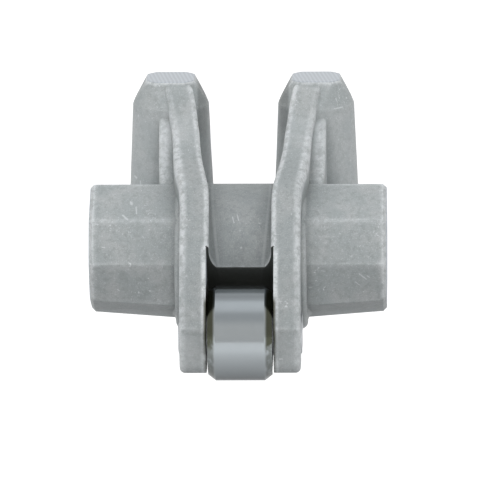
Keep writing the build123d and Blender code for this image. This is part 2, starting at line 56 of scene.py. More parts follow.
BORE_RADIUS = 10.0 * MM
SLOT_SIDE = 8.0 * MM            # slot's wall from the middle
SLOT_FLOOR = 12.8 * MM          # and its floor from the shaft axis
RIB_INSIDE = 7.4 * MM           # inner faces of the ribs from the middle
EAR_SIDE = 14.4 * MM            # outer faces of the ears from the middle
WAIST_RADIUS = 15.6 * MM
SKIN = 0.15 * MM                # how near a machined face a point has to be to count as on it
SIDE_ON = 0.99                  # least sideways part of the normal on a wall of the slot

# ---- Camera and studio -------------------------------------------------------------------------
VIEW_ELEVATION = 14.0
VIEW_TURN = 1.5                 # degrees round towards +X
VIEW_ROLL = 0.5
VIEW_DISTANCE = 1.7
SENSOR_WIDTH = 36.0
FRAME_WIDTH = 120.0 * MM        # width of the view at the shaft axis
FRAME_RIGHT = 1.90 * MM         # how far the view's middle lies right of the axis
FRAME_UP = 2.16 * MM            # and above it
FLOOR_DROP = 62.0 * MM          # floor below the roller
FLOOR_FRONT = 0.55              # floor's front edge from the shaft
FLOOR_REACH = 6.0               # and its other edges
FLOOR_GREY = (0.42, 0.42, 0.42, 1.0)
FLOOR_LIFT = 0.85               # glow that the camera adds to the floor
MIRRORED_RISE = 0.96            # most glow of the floor in mirror-like metal, dimmed toward the object as a painted shadow
MIRRORED_REACH = 0.19           # reached this far from the dark middle of that painted shadow under the object
MIRRORED_CENTRE_Y = 0.03        # and that middle's place behind the shaft

DOME_LEVEL = 0.49               # how strongly the dome lights the object
DOME = [                        # share of the way from straight down to straight up, and colour
    (0.40, (0.62, 0.61, 0.60)), (0.50, (0.90, 0.885, 0.87)), (0.76, (0.92, 0.905, 0.89)),
    (0.88, (0.66, 0.67, 0.68)), (0.945, (0.70, 0.71, 0.72)), (0.975, (1.05, 1.06, 1.08)),
    (1.0, (1.12, 1.14, 1.16)),
]
DIM_HEIGHT, DIM_BACK = (0.85, 0.93), (0.08, 0.24)       # patch of the dome behind the top, as a direction
DIM_SHADE = -0.34               # share of its strength that the patch gains, a loss here

LAMPS = {                       # place, width, height and power; all of them point at the shaft's middle
    "key_light": ((-0.10, -0.95, 0.72), 0.9, 0.5, 4.6),
    "left_light": ((-0.95, -0.25, 0.60), 0.6, 0.6, 3.4),
    "right_light": ((0.95, -0.25, 0.60), 0.6, 0.6, 3.4),
    "top_light": ((0.05, 0.10, 1.10), 0.8, 0.8, 1.2),
}

# ---- Colours, linear ---------------------------------------------------------------------------
BLASTED_GREY = (0.385, 0.418, 0.425, 1.0)
BLASTED_PALE = (0.450, 0.475, 0.480, 1.0)
BLASTED_DEEP = (0.300, 0.325, 0.325, 1.0)
# painted light: paler bosses, toes and low ridge, and the line on the ears' roots
PAINTED_LIGHT_PALE = (0.580, 0.615, 0.630, 1.0)
# bright wear, also painted highlight along edges; scratches and knocks
RUBBED_STEEL_AND_HIGHLIGHT = (0.800, 0.830, 0.850, 1.0)
# painted shade in corners and slots, with some dirt; also the painted shade between rib and boss
CREVICE_SHADE_GREY = (0.085, 0.092, 0.088, 1.0)
# painted shade on the slot floor
SLOT_FLOOR_SHADE = (0.030, 0.032, 0.026, 1.0)
# painted shade on the waist, the ears' roots and the fronts of the ears
PAINTED_SHADE_GREY = (0.150, 0.165, 0.170, 1.0)
CUT_STEEL = (0.610, 0.660, 0.710, 1.0)
CUT_SHADE = (0.400, 0.440, 0.485, 1.0)
# old oil, darkened above the roller's pin as painted shade
OIL_AND_SHADE_OLIVE = (0.046, 0.048, 0.026, 1.0)
ROLLER_TONE, ROLLER_SHADE = (0.368, 0.398, 0.414, 1.0), (0.322, 0.352, 0.368, 1.0)
GREY_TONE, GREY_SHADE = (0.48, 0.50, 0.52, 1.0), (0.37, 0.39, 0.41, 1.0)
DARK_TONE, DARK_SHADE = (0.36, 0.37, 0.38, 1.0), (0.25, 0.26, 0.27, 1.0)
WHITE = (1.0, 1.0, 1.0, 1.0)

# ---- Zones of the forging: where each one starts and where it is full --------------------------
# Y and Z count from the shaft axis, and "away" from the middle plane between the ears.
RIDGE_Z = (-8.8 * MM, -9.6 * MM)                # lowest ridge of the barrels, painted paler as a highlight
RIDGE_AWAY = (EAR_SIDE + 0.6 * MM, EAR_SIDE + 1.2 * MM)
BAND_Z = (-4.0 * MM, 4.0 * MM)                  # broad band of wear and painted highlight along the outer edge of each rib's front
BAND_Y = (17.0 * MM, 14.0 * MM)
BAND_PAST_MIDDLE = (0.3 * MM, 1.8 * MM)         # outwards from the rib's middle
BAND_AWAY = (EAR_SIDE + 5.6 * MM, EAR_SIDE + 4.2 * MM)
RIB_SPREAD_Z = (16.0 * MM, 32.0 * MM)           # height over which a rib's middle moves outwards
RIB_MIDDLE, RIB_SPREAD = 12.0 * MM, 3.4 * MM
WAIST_OUT = (WAIST_RADIUS + 4.5 * MM, WAIST_RADIUS + 1.5 * MM)  # out from the shaft axis; the waist gets painted shade
WAIST_AWAY = RIB_INSIDE + 0.5 * MM              # the waist ends a little inside the ribs
ROOT_EDGE = 5.3 * MM                            # edge of the ears' roots on the waist, at shaft height
ROOT_SLOPE = 0.108                              # how far it moves outwards for each step of height
ROOT_SIDE = (-0.1 * MM, 0.5 * MM)               # past that edge the root gets more painted shade
ROOT_LINE = (0.55 * MM, 0.10 * MM)              # distance from it, for the painted highlight line on it
ROOT_FRONT_Y = (4.0 * MM, -2.0 * MM)            # the line shows on the waist's front only
BEHIND_Y = (2.0 * MM, 12.0 * MM)                # painted light: paler bosses, up to where their caps taper
BOSS_TAPER_Z = (28.5 * MM, 30.5 * MM)
BELOW_Z = (-13.0 * MM, -15.5 * MM)              # painted light: paler toes of the ears
EAR_Y = (3.0 * MM, -3.0 * MM)                   # painted shade: darker fronts of the ears
EAR_Z = (-14.0 * MM, -12.0 * MM)
EAR_AWAY = (EAR_SIDE + 2.6 * MM, EAR_SIDE + 1.6 * MM)
CORNER_Y = (9.0 * MM, 12.5 * MM)                # painted shade in the corner between rib and boss
CORNER_INNER = (7.7 * MM, 9.4 * MM)
CORNER_OUTER = (11.4 * MM, 10.6 * MM)
CORNER_Z = (17.0 * MM, 27.0 * MM)

# How much of its own colour each zone takes
WEAR_AND_HIGHLIGHT_SHARE, BAND_SHARE, STROKE_SHARE = 0.80, 0.70, 0.45
WAIST_SHARE, ROOT_SHARE, LINE_SHARE = 0.18, 0.12, 0.38
BEHIND_SHARE, BELOW_SHARE, EAR_SHARE, RIDGE_SHARE = 0.22, 0.28, 0.13, 0.14
CORNER_LOW_SHARE, CORNER_HIGH_SHARE = 0.15, 0.52
GRIME_AND_SHADE_SHARE, SLOT_FLOOR_SHARE, OIL_AND_SHADE_SHARE = 0.78, 0.86, 0.93

STROKES = [                     # scratches and dents on the front: from (X, Z) to (X, Z) and width, mm
    (-26.3, 13.0, -26.0, 12.8, 0.50), (-25.0, 12.3, -24.8, 11.2, 0.28), (-27.6, 10.6, -26.9, 10.2, 0.36),
    (-28.1, 10.9, -27.8, 10.8, 0.34), (-34.6, 9.3, -33.9, 9.1, 0.30), (-33.0, 4.1, -32.3, 4.0, 0.20),
    (28.2, -2.4, 29.9, -3.9, 0.32), (27.3, -4.6, 28.4, -5.5, 0.22), (30.1, -3.0, 30.7, -3.4, 0.24),
    (-29.4, -6.5, -29.0, -6.8, 0.30), (33.6, 1.6, 33.9, 2.6, 0.22), (22.2, 30.4, 24.0, 30.5, 0.26),
    (-1.9, 10.6, -1.5, 9.4, 0.24), (-0.8, 11.0, -0.4, 9.9, 0.22),
]
FRONT_LIMIT = 0.05              # greatest Y of the normal on a face that carries the strokes

FLOAT, COLOR, VECTOR = "NodeSocketFloat", "NodeSocketColor", "NodeSocketVector"


# ---- Node helpers ------------------------------------------------------------------------------
def put(tree, kind, inputs=None, **settings):
    """Adds a node; an input given as a socket is linked, any other value is set."""
    made = tree.nodes.new(kind)
    for name, value in settings.items():
        setattr(made, name, value)
    for name, value in (inputs or {}).items():
        socket = made.inputs[name]
        if isinstance(value, bpy.types.NodeSocket):
            tree.links.new(value, socket)
        else:
            socket.default_value = value
    return made


def use(tree, group, **inputs):
    """Places a shared group."""
    return put(tree, "ShaderNodeGroup", inputs, node_tree=group).outputs


def calc(tree, operation, *values, clamp=False):
    """One sum, product or comparison of values and sockets."""
    made = put(tree, "ShaderNodeMath", dict(enumerate(values)), operation=operation, use_clamp=clamp)
    return made.outputs[0]


def product(tree, *shares):
    """All the shares multiplied together."""
    result = shares[0]
    for share in shares[1:]:
        result = calc(tree, "MULTIPLY", result, share)
    return result


def between(tree, value, low, high):
    """0 at low, 1 at high, smooth in between; low may be the greater one."""
    ramp = put(tree, "ShaderNodeMapRange", {"Value": value, "From Min": low, "From Max": high},
               interpolation_type="SMOOTHSTEP")
    return ramp.outputs["Result"]


def near(tree, value, target):
    """1 where the value is within a skin's thickness of the target."""
    return calc(tree, "LESS_THAN", calc(tree, "ABSOLUTE", calc(tree, "SUBTRACT", value, target)), SKIN)


def radius(tree, first, second):
    """Distance from the line on which both are zero."""
    squares = calc(tree, "MULTIPLY", first, first), calc(tree, "MULTIPLY", second, second)
    return calc(tree, "SQRT", calc(tree, "ADD", *squares))


def blend(tree, share, first, second):
    """Colour that is the first at share 0 and the second at share 1."""
    return put(tree, "ShaderNodeMix", {0: share, 6: first, 7: second}, data_type="RGBA").outputs[2]


def blend_value(tree, share, first, second):
    """The same for plain numbers."""
    return put(tree, "ShaderNodeMix", {0: share, 2: first, 3: second}, data_type="FLOAT").outputs[0]


def split(tree, vector):
    """X, Y and Z of a vector."""
    return put(tree, "ShaderNodeSeparateXYZ", {0: vector}).outputs


def facing(tree):
    """X, Y and Z of the surface's normal."""
    return split(tree, put(tree, "ShaderNodeNewGeometry").outputs["Normal"])


def object_point(tree):
    """Place of the surface point in the object's own coordinates."""
    return put(tree, "ShaderNodeTexCoord").outputs["Object"]


Place = namedtuple("Place", "x y z away")


def find_place(tree):
    """Where a point of the surface lies; away is its distance from the middle plane between the ears."""
    x, y, z = split(tree, object_point(tree))
    return Place(x, y, z, calc(tree, "ABSOLUTE", x))


def stretched(tree, point, turn, scale):
    """The point turned and scaled, for a pattern with a direction."""
    return put(tree, "ShaderNodeMapping", {"Vector": point, "Rotation": turn, "Scale": scale}).outputs[0]


def noise(tree, point, feature, detail, rough):
    """Noise whose spots are about this wide, in metres."""
    return put(tree, "ShaderNodeTexNoise", {
        "Vector": point, "Scale": 1.0 / feature, "Detail": detail, "Roughness": rough,
    }).outputs["Fac"]


def new_group(name, inputs, outputs):
    """Empty shader group; inputs are {name: (kind, default)} and outputs {name: kind}."""
    tree = bpy.data.node_groups.new(name, "ShaderNodeTree")
    for socket, (kind, default) in inputs.items():
        tree.interface.new_socket(socket, in_out="INPUT", socket_type=kind).default_value = default
    for socket, kind in outputs.items():
        tree.interface.new_socket(socket, in_out="OUTPUT", socket_type=kind)
    return tree, tree.nodes.new("NodeGroupInput").outputs, tree.nodes.new("NodeGroupOutput").inputs


# ---- Finishes shared by several materials ------------------------------------------------------
def knock_marks(tree, point):
    """Short slanting scratches and dents, sparse and uneven."""
    slanted = stretched(tree, point, (0.5, 0.9, 0.6), (1.0, 3.6, 1.0))
    crossed = stretched(tree, point, (-0.4, -0.8, 0.3), (3.4, 1.0, 1.2))
    marks = calc(tree, "MAXIMUM",
                 between(tree, noise(tree, slanted, 1.0 * MM, 1.0, 0.4), 0.66, 0.72),
                 between(tree, noise(tree, crossed, 0.9 * MM, 1.0, 0.4), 0.68, 0.74))
    return calc(tree, "MULTIPLY", marks, between(tree, noise(tree, point, 5.0 * MM, 2.0, 0.6), 0.52, 0.66))


def make_blasted_skin():
    """Shot-blasted forging: fine grit, soft clouds and a few bright knocks."""
    tree, given, out = new_group(
        "blasted_skin",
        {"Base": (COLOR, BLASTED_GREY), "Pale": (COLOR, BLASTED_PALE), "Deep": (COLOR, BLASTED_DEEP),
         "Grit": (FLOAT, 1.0), "Knocks": (FLOAT, 1.0)},
        {"Color": COLOR, "Roughness": FLOAT, "Height": FLOAT},
    )
    point = object_point(tree)
    cloud = noise(tree, point, 7.0 * MM, 3.0, 0.6)
    mottle = noise(tree, point, 1.3 * MM, 3.0, 0.65)
    grit = noise(tree, point, 0.28 * MM, 2.0, 0.6)
    tone = blend(tree, between(tree, cloud, 0.40, 0.66), given["Base"], given["Pale"])
    tone = blend(tree, calc(tree, "MULTIPLY", between(tree, mottle, 0.47, 0.66), 0.50), tone, given["Deep"])
    speck = calc(tree, "MULTIPLY", between(tree, grit, 0.52, 0.70), 0.42)
    tone = blend(tree, speck, tone, given["Deep"])
    glint = calc(tree, "MULTIPLY", between(tree, grit, 0.44, 0.28), 0.34)
    tone = blend(tree, glint, tone, RUBBED_STEEL_AND_HIGHLIGHT)
    knocks = calc(tree, "MULTIPLY", knock_marks(tree, point), given["Knocks"], clamp=True)
    tone = blend(tree, knocks, tone, RUBBED_STEEL_AND_HIGHLIGHT)
    rough = calc(tree, "MULTIPLY_ADD", grit, 0.22, 0.46)
    rough = calc(tree, "SUBTRACT", rough, calc(tree, "MULTIPLY", knocks, 0.18))
    bumps = calc(tree, "MULTIPLY", grit, given["Grit"])
    bumps = calc(tree, "MULTIPLY_ADD", mottle, 0.9, bumps)
    bumps = calc(tree, "SUBTRACT", bumps, calc(tree, "MULTIPLY", knocks, 0.7))
    tree.links.new(tone, out["Color"])
    tree.links.new(rough, out["Roughness"])
    tree.links.new(bumps, out["Height"])
    return tree


def make_stroke():
    """Mask of one short mark between two places, counted across X and Z."""
    tree, given, out = new_group(
        "stroke", {"From": (VECTOR, (0, 0, 0)), "To": (VECTOR, (0, 0, 0)), "Width": (FLOAT, 0.3 * MM)},
        {"Mask": FLOAT},
    )

    def vector(operation, first, second, result=0):
        """Vector sum, product or distance."""
        return put(tree, "ShaderNodeVectorMath", {0: first, 1: second}, operation=operation).outputs[result]

    flat = vector("MULTIPLY", object_point(tree), (1.0, 0.0, 1.0))
    reach = vector("SUBTRACT", flat, given["From"])
    span = vector("SUBTRACT", given["To"], given["From"])
    span_squared = vector("DOT_PRODUCT", span, span, 1)
    share = calc(tree, "DIVIDE", vector("DOT_PRODUCT", reach, span, 1), span_squared, clamp=True)
    along = put(tree, "ShaderNodeVectorMath", {0: span, "Scale": share}, operation="SCALE").outputs[0]
    aside = vector("DISTANCE", reach, along, 1)
    ragged = noise(tree, object_point(tree), 0.35 * MM, 2.0, 0.6)
    width = calc(tree, "MULTIPLY", given["Width"], calc(tree, "MULTIPLY_ADD", ragged, 1.6, -0.1))
    tree.links.new(between(tree, aside, width, calc(tree, "MULTIPLY", width, 0.35)), out["Mask"])
    return tree


def make_edge_wear_and_highlight_mask():
    """Mask of the edges that handling and the blast have rubbed bright, from how thin the metal is there; on
    the forging it also serves as painted highlight along the edges.
    """
    tree, given, out = new_group(
        "edge_wear_and_highlight_mask",
        {"Width": (FLOAT, 1.0 * MM), "Start": (FLOAT, 0.22), "Full": (FLOAT, 0.42)},
        {"Mask": FLOAT},
    )
    solid_share = put(tree, "ShaderNodeAmbientOcclusion", {"Distance": given["Width"]}, samples=12,
                      inside=True, only_local=True).outputs["AO"]
    thin = calc(tree, "SUBTRACT", 1.0, solid_share)
    edge = between(tree, thin, given["Start"], given["Full"])
    patchy = between(tree, noise(tree, object_point(tree), 1.5 * MM, 4.0, 0.7), 0.34, 0.62)
    patchy = calc(tree, "MULTIPLY_ADD", patchy, 0.75, 0.25)
    tree.links.new(calc(tree, "MULTIPLY", edge, patchy, clamp=True), out["Mask"])
    return tree


def make_crevice():
    """Mask of the corners and slots, for painted shade and some dirt there."""
    tree, given, out = new_group("crevice", {"Reach": (FLOAT, 3.0 * MM)}, {"Mask": FLOAT})
    sky = put(tree, "ShaderNodeAmbientOcclusion", {"Distance": given["Reach"]}, samples=8)
    uneven = calc(tree, "MULTIPLY_ADD", noise(tree, object_point(tree), 2.2 * MM, 3.0, 0.6), 0.5, 0.75)
    closed = calc(tree, "SUBTRACT", 1.0, sky.outputs["AO"])
    tree.links.new(calc(tree, "MULTIPLY", closed, uneven, clamp=True), out["Mask"])
    return tree


def make_tool_lines():
    """Fine cutter lines: light and dark streaks that follow one direction."""
    tree, given, out = new_group(
        "tool_lines",
        {"Across": (FLOAT, 0.0), "Pitch": (FLOAT, 0.5 * MM), "Waviness": (FLOAT, 0.3)},
        {"Streak": FLOAT},
    )
    drift = calc(tree, "MULTIPLY", noise(tree, object_point(tree), 2.0 * MM, 2.0, 0.5), given["Waviness"])
    turns = calc(tree, "ADD", calc(tree, "DIVIDE", given["Across"], given["Pitch"]), drift)
    wave = calc(tree, "SINE", calc(tree, "MULTIPLY", turns, 2 * math.pi))
    wave = calc(tree, "MULTIPLY_ADD", wave, 0.5, 0.5)
    fine = put(tree, "ShaderNodeTexNoise", {
        "W": calc(tree, "MULTIPLY", turns, 2.7), "Scale": 1.0, "Detail": 3.0, "Roughness": 0.7,
    }, noise_dimensions="1D").outputs["Fac"]
    streak = calc(tree, "MULTIPLY_ADD", wave, 0.55, calc(tree, "MULTIPLY", fine, 0.45))
    tree.links.new(streak, out["Streak"])
    return tree


def make_oil_and_shade():
    """Old oil that has crept into the gaps on both sides of the roller, most of it above the pin, where it
    also stands for painted shade deep in the slot.
    """
    tree, given, out = new_group("oil_and_shade_mask", {"Most": (FLOAT, OIL_AND_SHADE_SHARE)}, {"Share": FLOAT})
    at = find_place(tree)
    beside = product(tree, between(tree, at.away, ROLLER_SIDE - 1.9 * MM, ROLLER_SIDE - 1.1 * MM),
                     between(tree, at.away, SLOT_SIDE + 0.9 * MM, SLOT_SIDE + 0.1 * MM))
    y_off = calc(tree, "SUBTRACT", at.y, ROLLER_MIDDLE.y)
    z_off = calc(tree, "SUBTRACT", at.z, ROLLER_MIDDLE.z)
    reach = radius(tree, y_off, z_off)
    close = between(tree, reach, ROLLER_RADIUS + 1.5 * MM, ROLLER_RADIUS)
    smear = between(tree, noise(tree, object_point(tree), 2.6 * MM, 4.0, 0.65), 0.30, 0.55)
    # darker above the pin: painted shade deep in the slot
    upper = between(tree, at.z, ROLLER_MIDDLE.z - 2.5 * MM, ROLLER_MIDDLE.z + 2.5 * MM)
    thick, thin = calc(tree, "MULTIPLY_ADD", smear, 0.15, 0.80), calc(tree, "MULTIPLY", smear, 0.55)
    share = calc(tree, "MINIMUM", calc(tree, "MULTIPLY_ADD", thick, upper, thin), given["Most"])
    tree.links.new(product(tree, beside, close, share), out["Share"])
    return tree


BLASTED_SKIN = make_blasted_skin()
STROKE = make_stroke()
EDGE_WEAR_AND_HIGHLIGHT = make_edge_wear_and_highlight_mask()
CREVICE = make_crevice()
TOOL_LINES = make_tool_lines()
OIL_AND_SHADE = make_oil_and_shade()


def start_material(name):
    """New material with one surface shader in it."""
    material = bpy.data.materials.new(name)
    material.use_nodes = True
    tree = material.node_tree
    tree.nodes.clear()
    surface = tree.nodes.new("ShaderNodeBsdfPrincipled")
    output = tree.nodes.new("ShaderNodeOutputMaterial")
    tree.links.new(surface.outputs[0], output.inputs["Surface"])
    return material, tree, surface


def relief(tree, surface, height, depth, rounding=None):
    """Feeds a height of this many metres into the surface's normal."""
    bump = put(tree, "ShaderNodeBump", {"Height": height, "Distance": depth, "Strength": 1.0})
    if rounding:
        soft = put(tree, "ShaderNodeBevel", {"Radius": rounding}, samples=6)
        tree.links.new(soft.outputs[0], bump.inputs["Normal"])
    tree.links.new(bump.outputs[0], surface.inputs["Normal"])


# ---- Forged body -------------------------------------------------------------------------------
def make_machined_zones():
    """Masks of the faces that a cutter has finished, and of the waist between the ribs."""
    names = ("Boss top", "Hub end", "Bore", "Slot", "Slot floor", "Waist")
    tree, given, out = new_group("machined_zones", {}, dict.fromkeys(names, FLOAT))
    at = find_place(tree)
    from_axis = radius(tree, at.y, at.z)
    to_floor = calc(tree, "MULTIPLY_ADD", at.y, TO_ROLLER.y, calc(tree, "MULTIPLY", at.z, TO_ROLLER.z))
    side_on = calc(tree, "GREATER_THAN", calc(tree, "ABSOLUTE", facing(tree)[0]), SIDE_ON)
    in_slot = calc(tree, "LESS_THAN", at.away, SLOT_SIDE + SKIN)
    right_end = calc(tree, "GREATER_THAN", at.x, HUB_RIGHT_END - SKIN)
    left_end = calc(tree, "LESS_THAN", at.x, HUB_LEFT_END + SKIN)
    masks = (
        calc(tree, "GREATER_THAN", at.z, BOSS_TOP - SKIN),
        calc(tree, "MAXIMUM", right_end, left_end),
        calc(tree, "LESS_THAN", from_axis, BORE_RADIUS + SKIN),
        product(tree, side_on, near(tree, at.away, SLOT_SIDE)),
        product(tree, in_slot, near(tree, to_floor, SLOT_FLOOR)),
        product(tree, calc(tree, "LESS_THAN", at.away, WAIST_AWAY), between(tree, from_axis, *WAIST_OUT)),
    )
    for name, mask in zip(names, masks):
        tree.links.new(mask, out[name])
    return tree


def placed_marks(tree):
    """All the strokes together, on the faces that look to the front."""
    marks = 0.0
    for from_x, from_z, to_x, to_z, width in STROKES:
        start, end = (from_x * MM, 0, from_z * MM), (to_x * MM, 0, to_z * MM)
        one = use(tree, STROKE, From=start, To=end, Width=width * MM)
        marks = calc(tree, "MAXIMUM", marks, one["Mask"])
    return calc(tree, "MULTIPLY", marks, calc(tree, "LESS_THAN", facing(tree)[1], FRONT_LIMIT))


def cut_faces(tree, at, zones):
    """Mask of all machined faces, and the cutter lines on them: milled, turned and bored."""
    slanting = calc(tree, "MULTIPLY_ADD", at.y, 0.16, at.x)
    milling = use(tree, TOOL_LINES, Across=slanting, Pitch=0.95 * MM, Waviness=0.35)
    turning = use(tree, TOOL_LINES, Across=radius(tree, at.y, at.z), Pitch=0.40 * MM, Waviness=0.10)
    boring = use(tree, TOOL_LINES, Across=at.x, Pitch=0.35 * MM, Waviness=0.10)
    lines = blend_value(tree, zones["Hub end"], milling["Streak"], turning["Streak"])
    lines = blend_value(tree, zones["Bore"], lines, boring["Streak"])
    cut = zones["Bore"]
    for name in ("Slot", "Hub end", "Boss top"):
        cut = calc(tree, "MAXIMUM", cut, zones[name])
    return cut, lines


def edge_wear_and_highlight(tree, at, grime_and_shade, low_ridge):
    """Bright wear with painted highlight: all clean edges but the low ridge, and a broad band along the outer
    edge of each rib.
    """
    narrow = use(tree, EDGE_WEAR_AND_HIGHLIGHT, Width=1.5 * MM, Start=0.03, Full=0.14)["Mask"]
    clean = calc(tree, "SUBTRACT", 1.0, calc(tree, "MULTIPLY", grime_and_shade, 2.2), clamp=True)
    narrow = product(tree, narrow, calc(tree, "SUBTRACT", 1.0, low_ridge), clean, WEAR_AND_HIGHLIGHT_SHARE)

    broad = use(tree, EDGE_WEAR_AND_HIGHLIGHT, Width=3.6 * MM, Start=0.03, Full=0.20)["Mask"]
    rib_middle = calc(tree, "MULTIPLY_ADD", between(tree, at.z, *RIB_SPREAD_Z), RIB_SPREAD, RIB_MIDDLE)
    past_middle = between(tree, calc(tree, "SUBTRACT", at.away, rib_middle), *BAND_PAST_MIDDLE)
    broad = product(tree, broad, past_middle, between(tree, at.z, *BAND_Z), between(tree, at.y, *BAND_Y),
                    between(tree, at.away, *BAND_AWAY), BAND_SHARE)
    return calc(tree, "MAXIMUM", narrow, broad)


def shaded_waist(tree, at, waist, tone):
    """Painted shade on the waist, darker still on the ears' roots, with a painted highlight line along their
    edge.
    """
    past_edge = calc(tree, "SUBTRACT", at.away, calc(tree, "MULTIPLY_ADD", at.z, ROOT_SLOPE, ROOT_EDGE))
    root = calc(tree, "MULTIPLY", between(tree, past_edge, *ROOT_SIDE), ROOT_SHARE)
    tone = blend(tree, product(tree, waist, calc(tree, "ADD", root, WAIST_SHARE)), tone, PAINTED_SHADE_GREY)
    # painted highlight line along the edge of the roots
    line = product(tree, between(tree, calc(tree, "ABSOLUTE", past_edge), *ROOT_LINE), waist,
                   between(tree, at.y, *ROOT_FRONT_Y), LINE_SHARE)
    return blend(tree, line, tone, PAINTED_LIGHT_PALE)


def shaded_sides(tree, at, low_ridge, tone):
    """Painted light on the bosses, toes and low ridge, and painted shade on the fronts of the ears and the
    corners between rib and boss.
    """
    behind = product(tree, between(tree, at.y, *BEHIND_Y), blend_value(
        tree, between(tree, at.z, *BOSS_TAPER_Z), BEHIND_SHARE, 0.0))
    below = calc(tree, "MULTIPLY", between(tree, at.z, *BELOW_Z), BELOW_SHARE)
    # painted light on the bosses and toes
    tone = blend(tree, calc(tree, "MAXIMUM", behind, below), tone, PAINTED_LIGHT_PALE)
    ear = product(tree, between(tree, at.y, *EAR_Y), between(tree, at.z, *EAR_Z),
                  between(tree, at.away, *EAR_AWAY), EAR_SHARE)
    # painted shade on the fronts of the ears
    tone = blend(tree, ear, tone, PAINTED_SHADE_GREY)
    # painted highlight on the low ridge
    tone = blend(tree, calc(tree, "MULTIPLY", low_ridge, RIDGE_SHARE), tone, PAINTED_LIGHT_PALE)
    depth = blend_value(tree, between(tree, at.z, *CORNER_Z), CORNER_LOW_SHARE, CORNER_HIGH_SHARE)
    corner = product(tree, between(tree, at.y, *CORNER_Y), between(tree, at.away, *CORNER_INNER),
                     between(tree, at.away, *CORNER_OUTER), depth)
    # painted shade in the corner between rib and boss
    return blend(tree, corner, tone, CREVICE_SHADE_GREY)


def forged_steel():
    """Shot-blasted forging with cut faces, bright edges of wear and painted highlight, painted light and
    shade by zone, painted shade in the corners and on the slot floor, and old oil with painted shade.
    """
    material, tree, surface = start_material("forged_steel")
    at = find_place(tree)
    skin = use(tree, BLASTED_SKIN, Grit=1.0, Knocks=0.6)
    zones = use(tree, make_machined_zones())
    grime_and_shade = use(tree, CREVICE, Reach=4.5 * MM)["Mask"]
    low_ridge = product(tree, between(tree, at.z, *RIDGE_Z), between(tree, at.away, *RIDGE_AWAY))
    wear_and_highlight = edge_wear_and_highlight(tree, at, grime_and_shade, low_ridge)
    cut, lines = cut_faces(tree, at, zones)

    # painted shade on the waist and painted highlight on the roots' edge
    tone = shaded_waist(tree, at, zones["Waist"], skin["Color"])
    # painted light and shade on the sides
    tone = shaded_sides(tree, at, low_ridge, tone)
    marks = calc(tree, "MULTIPLY", placed_marks(tree), STROKE_SHARE)
    # bright edge wear with painted highlight, and the scratches
    tone = blend(tree, calc(tree, "MAXIMUM", wear_and_highlight, marks), tone, RUBBED_STEEL_AND_HIGHLIGHT)
    tone = blend(tree, cut, tone, blend(tree, lines, CUT_SHADE, CUT_STEEL))
    # painted shade in corners and slots, with some dirt
    tone = blend(tree, calc(tree, "MULTIPLY", grime_and_shade, GRIME_AND_SHADE_SHARE, clamp=True), tone, CREVICE_SHADE_GREY)
    # painted shade on the slot floor
    tone = blend(tree, calc(tree, "MULTIPLY", zones["Slot floor"], SLOT_FLOOR_SHARE), tone, SLOT_FLOOR_SHADE)
    # old oil beside the roller, with painted shade above the pin
    tone = blend(tree, use(tree, OIL_AND_SHADE, Most=OIL_AND_SHADE_SHARE)["Share"], tone, OIL_AND_SHADE_OLIVE)
    tree.links.new(tone, surface.inputs["Base Color"])

    rough = calc(tree, "SUBTRACT", skin["Roughness"], calc(tree, "MULTIPLY", wear_and_highlight, 0.15))
    rough = blend_value(tree, cut, rough, calc(tree, "MULTIPLY_ADD", lines, 0.12, 0.27))
    tree.links.new(rough, surface.inputs["Roughness"])
    surface.inputs["Metallic"].default_value = 0.12
    surface.inputs["Specular IOR Level"].default_value = 0.35
    height = blend_value(tree, cut, skin["Height"], calc(tree, "MULTIPLY", lines, 0.35))
    relief(tree, surface, height, 0.035 * MM, rounding=0.35 * MM)
    return material


# ---- Ground, turned and pressed pieces ---------------------------------------------------------
def bright_steel(name, tone, shade, across, pitch, rough, with_oil_and_shade=False):
    """Ground or turned steel with lines along one direction; across names how the lines are stacked."""
    material, tree, surface = start_material(name)
    point = object_point(tree)
    x, _, z = split(tree, point)
    streak = use(tree, TOOL_LINES, Across={"x": x, "z": z}[across], Pitch=pitch, Waviness=0.15)["Streak"]
    rub = use(tree, EDGE_WEAR_AND_HIGHLIGHT, Width=0.5 * MM, Start=0.25, Full=0.45)["Mask"]
    cloud = noise(tree, point, 3.0 * MM, 3.0, 0.6)
    mixed = calc(tree, "MULTIPLY_ADD", cloud, 0.5, calc(tree, "MULTIPLY", streak, 0.4))
    mixed = blend(tree, mixed, tone, shade)
    mixed = blend(tree, calc(tree, "MULTIPLY", rub, 0.5), mixed, RUBBED_STEEL_AND_HIGHLIGHT)
    # old oil in the roller's gaps, with painted shade
    if with_oil_and_shade:
        mixed = blend(tree, use(tree, OIL_AND_SHADE, Most=OIL_AND_SHADE_SHARE)["Share"], mixed, OIL_AND_SHADE_OLIVE)
    tree.links.new(mixed, surface.inputs["Base Color"])
    polish = calc(tree, "MULTIPLY_ADD", streak, 0.10, rough)
    polish = calc(tree, "MULTIPLY_ADD", cloud, 0.08, polish)
    tree.links.new(polish, surface.inputs["Roughness"])
    surface.inputs["Metallic"].default_value = 0.95
    relief(tree, surface, streak, 0.004 * MM)
    return material


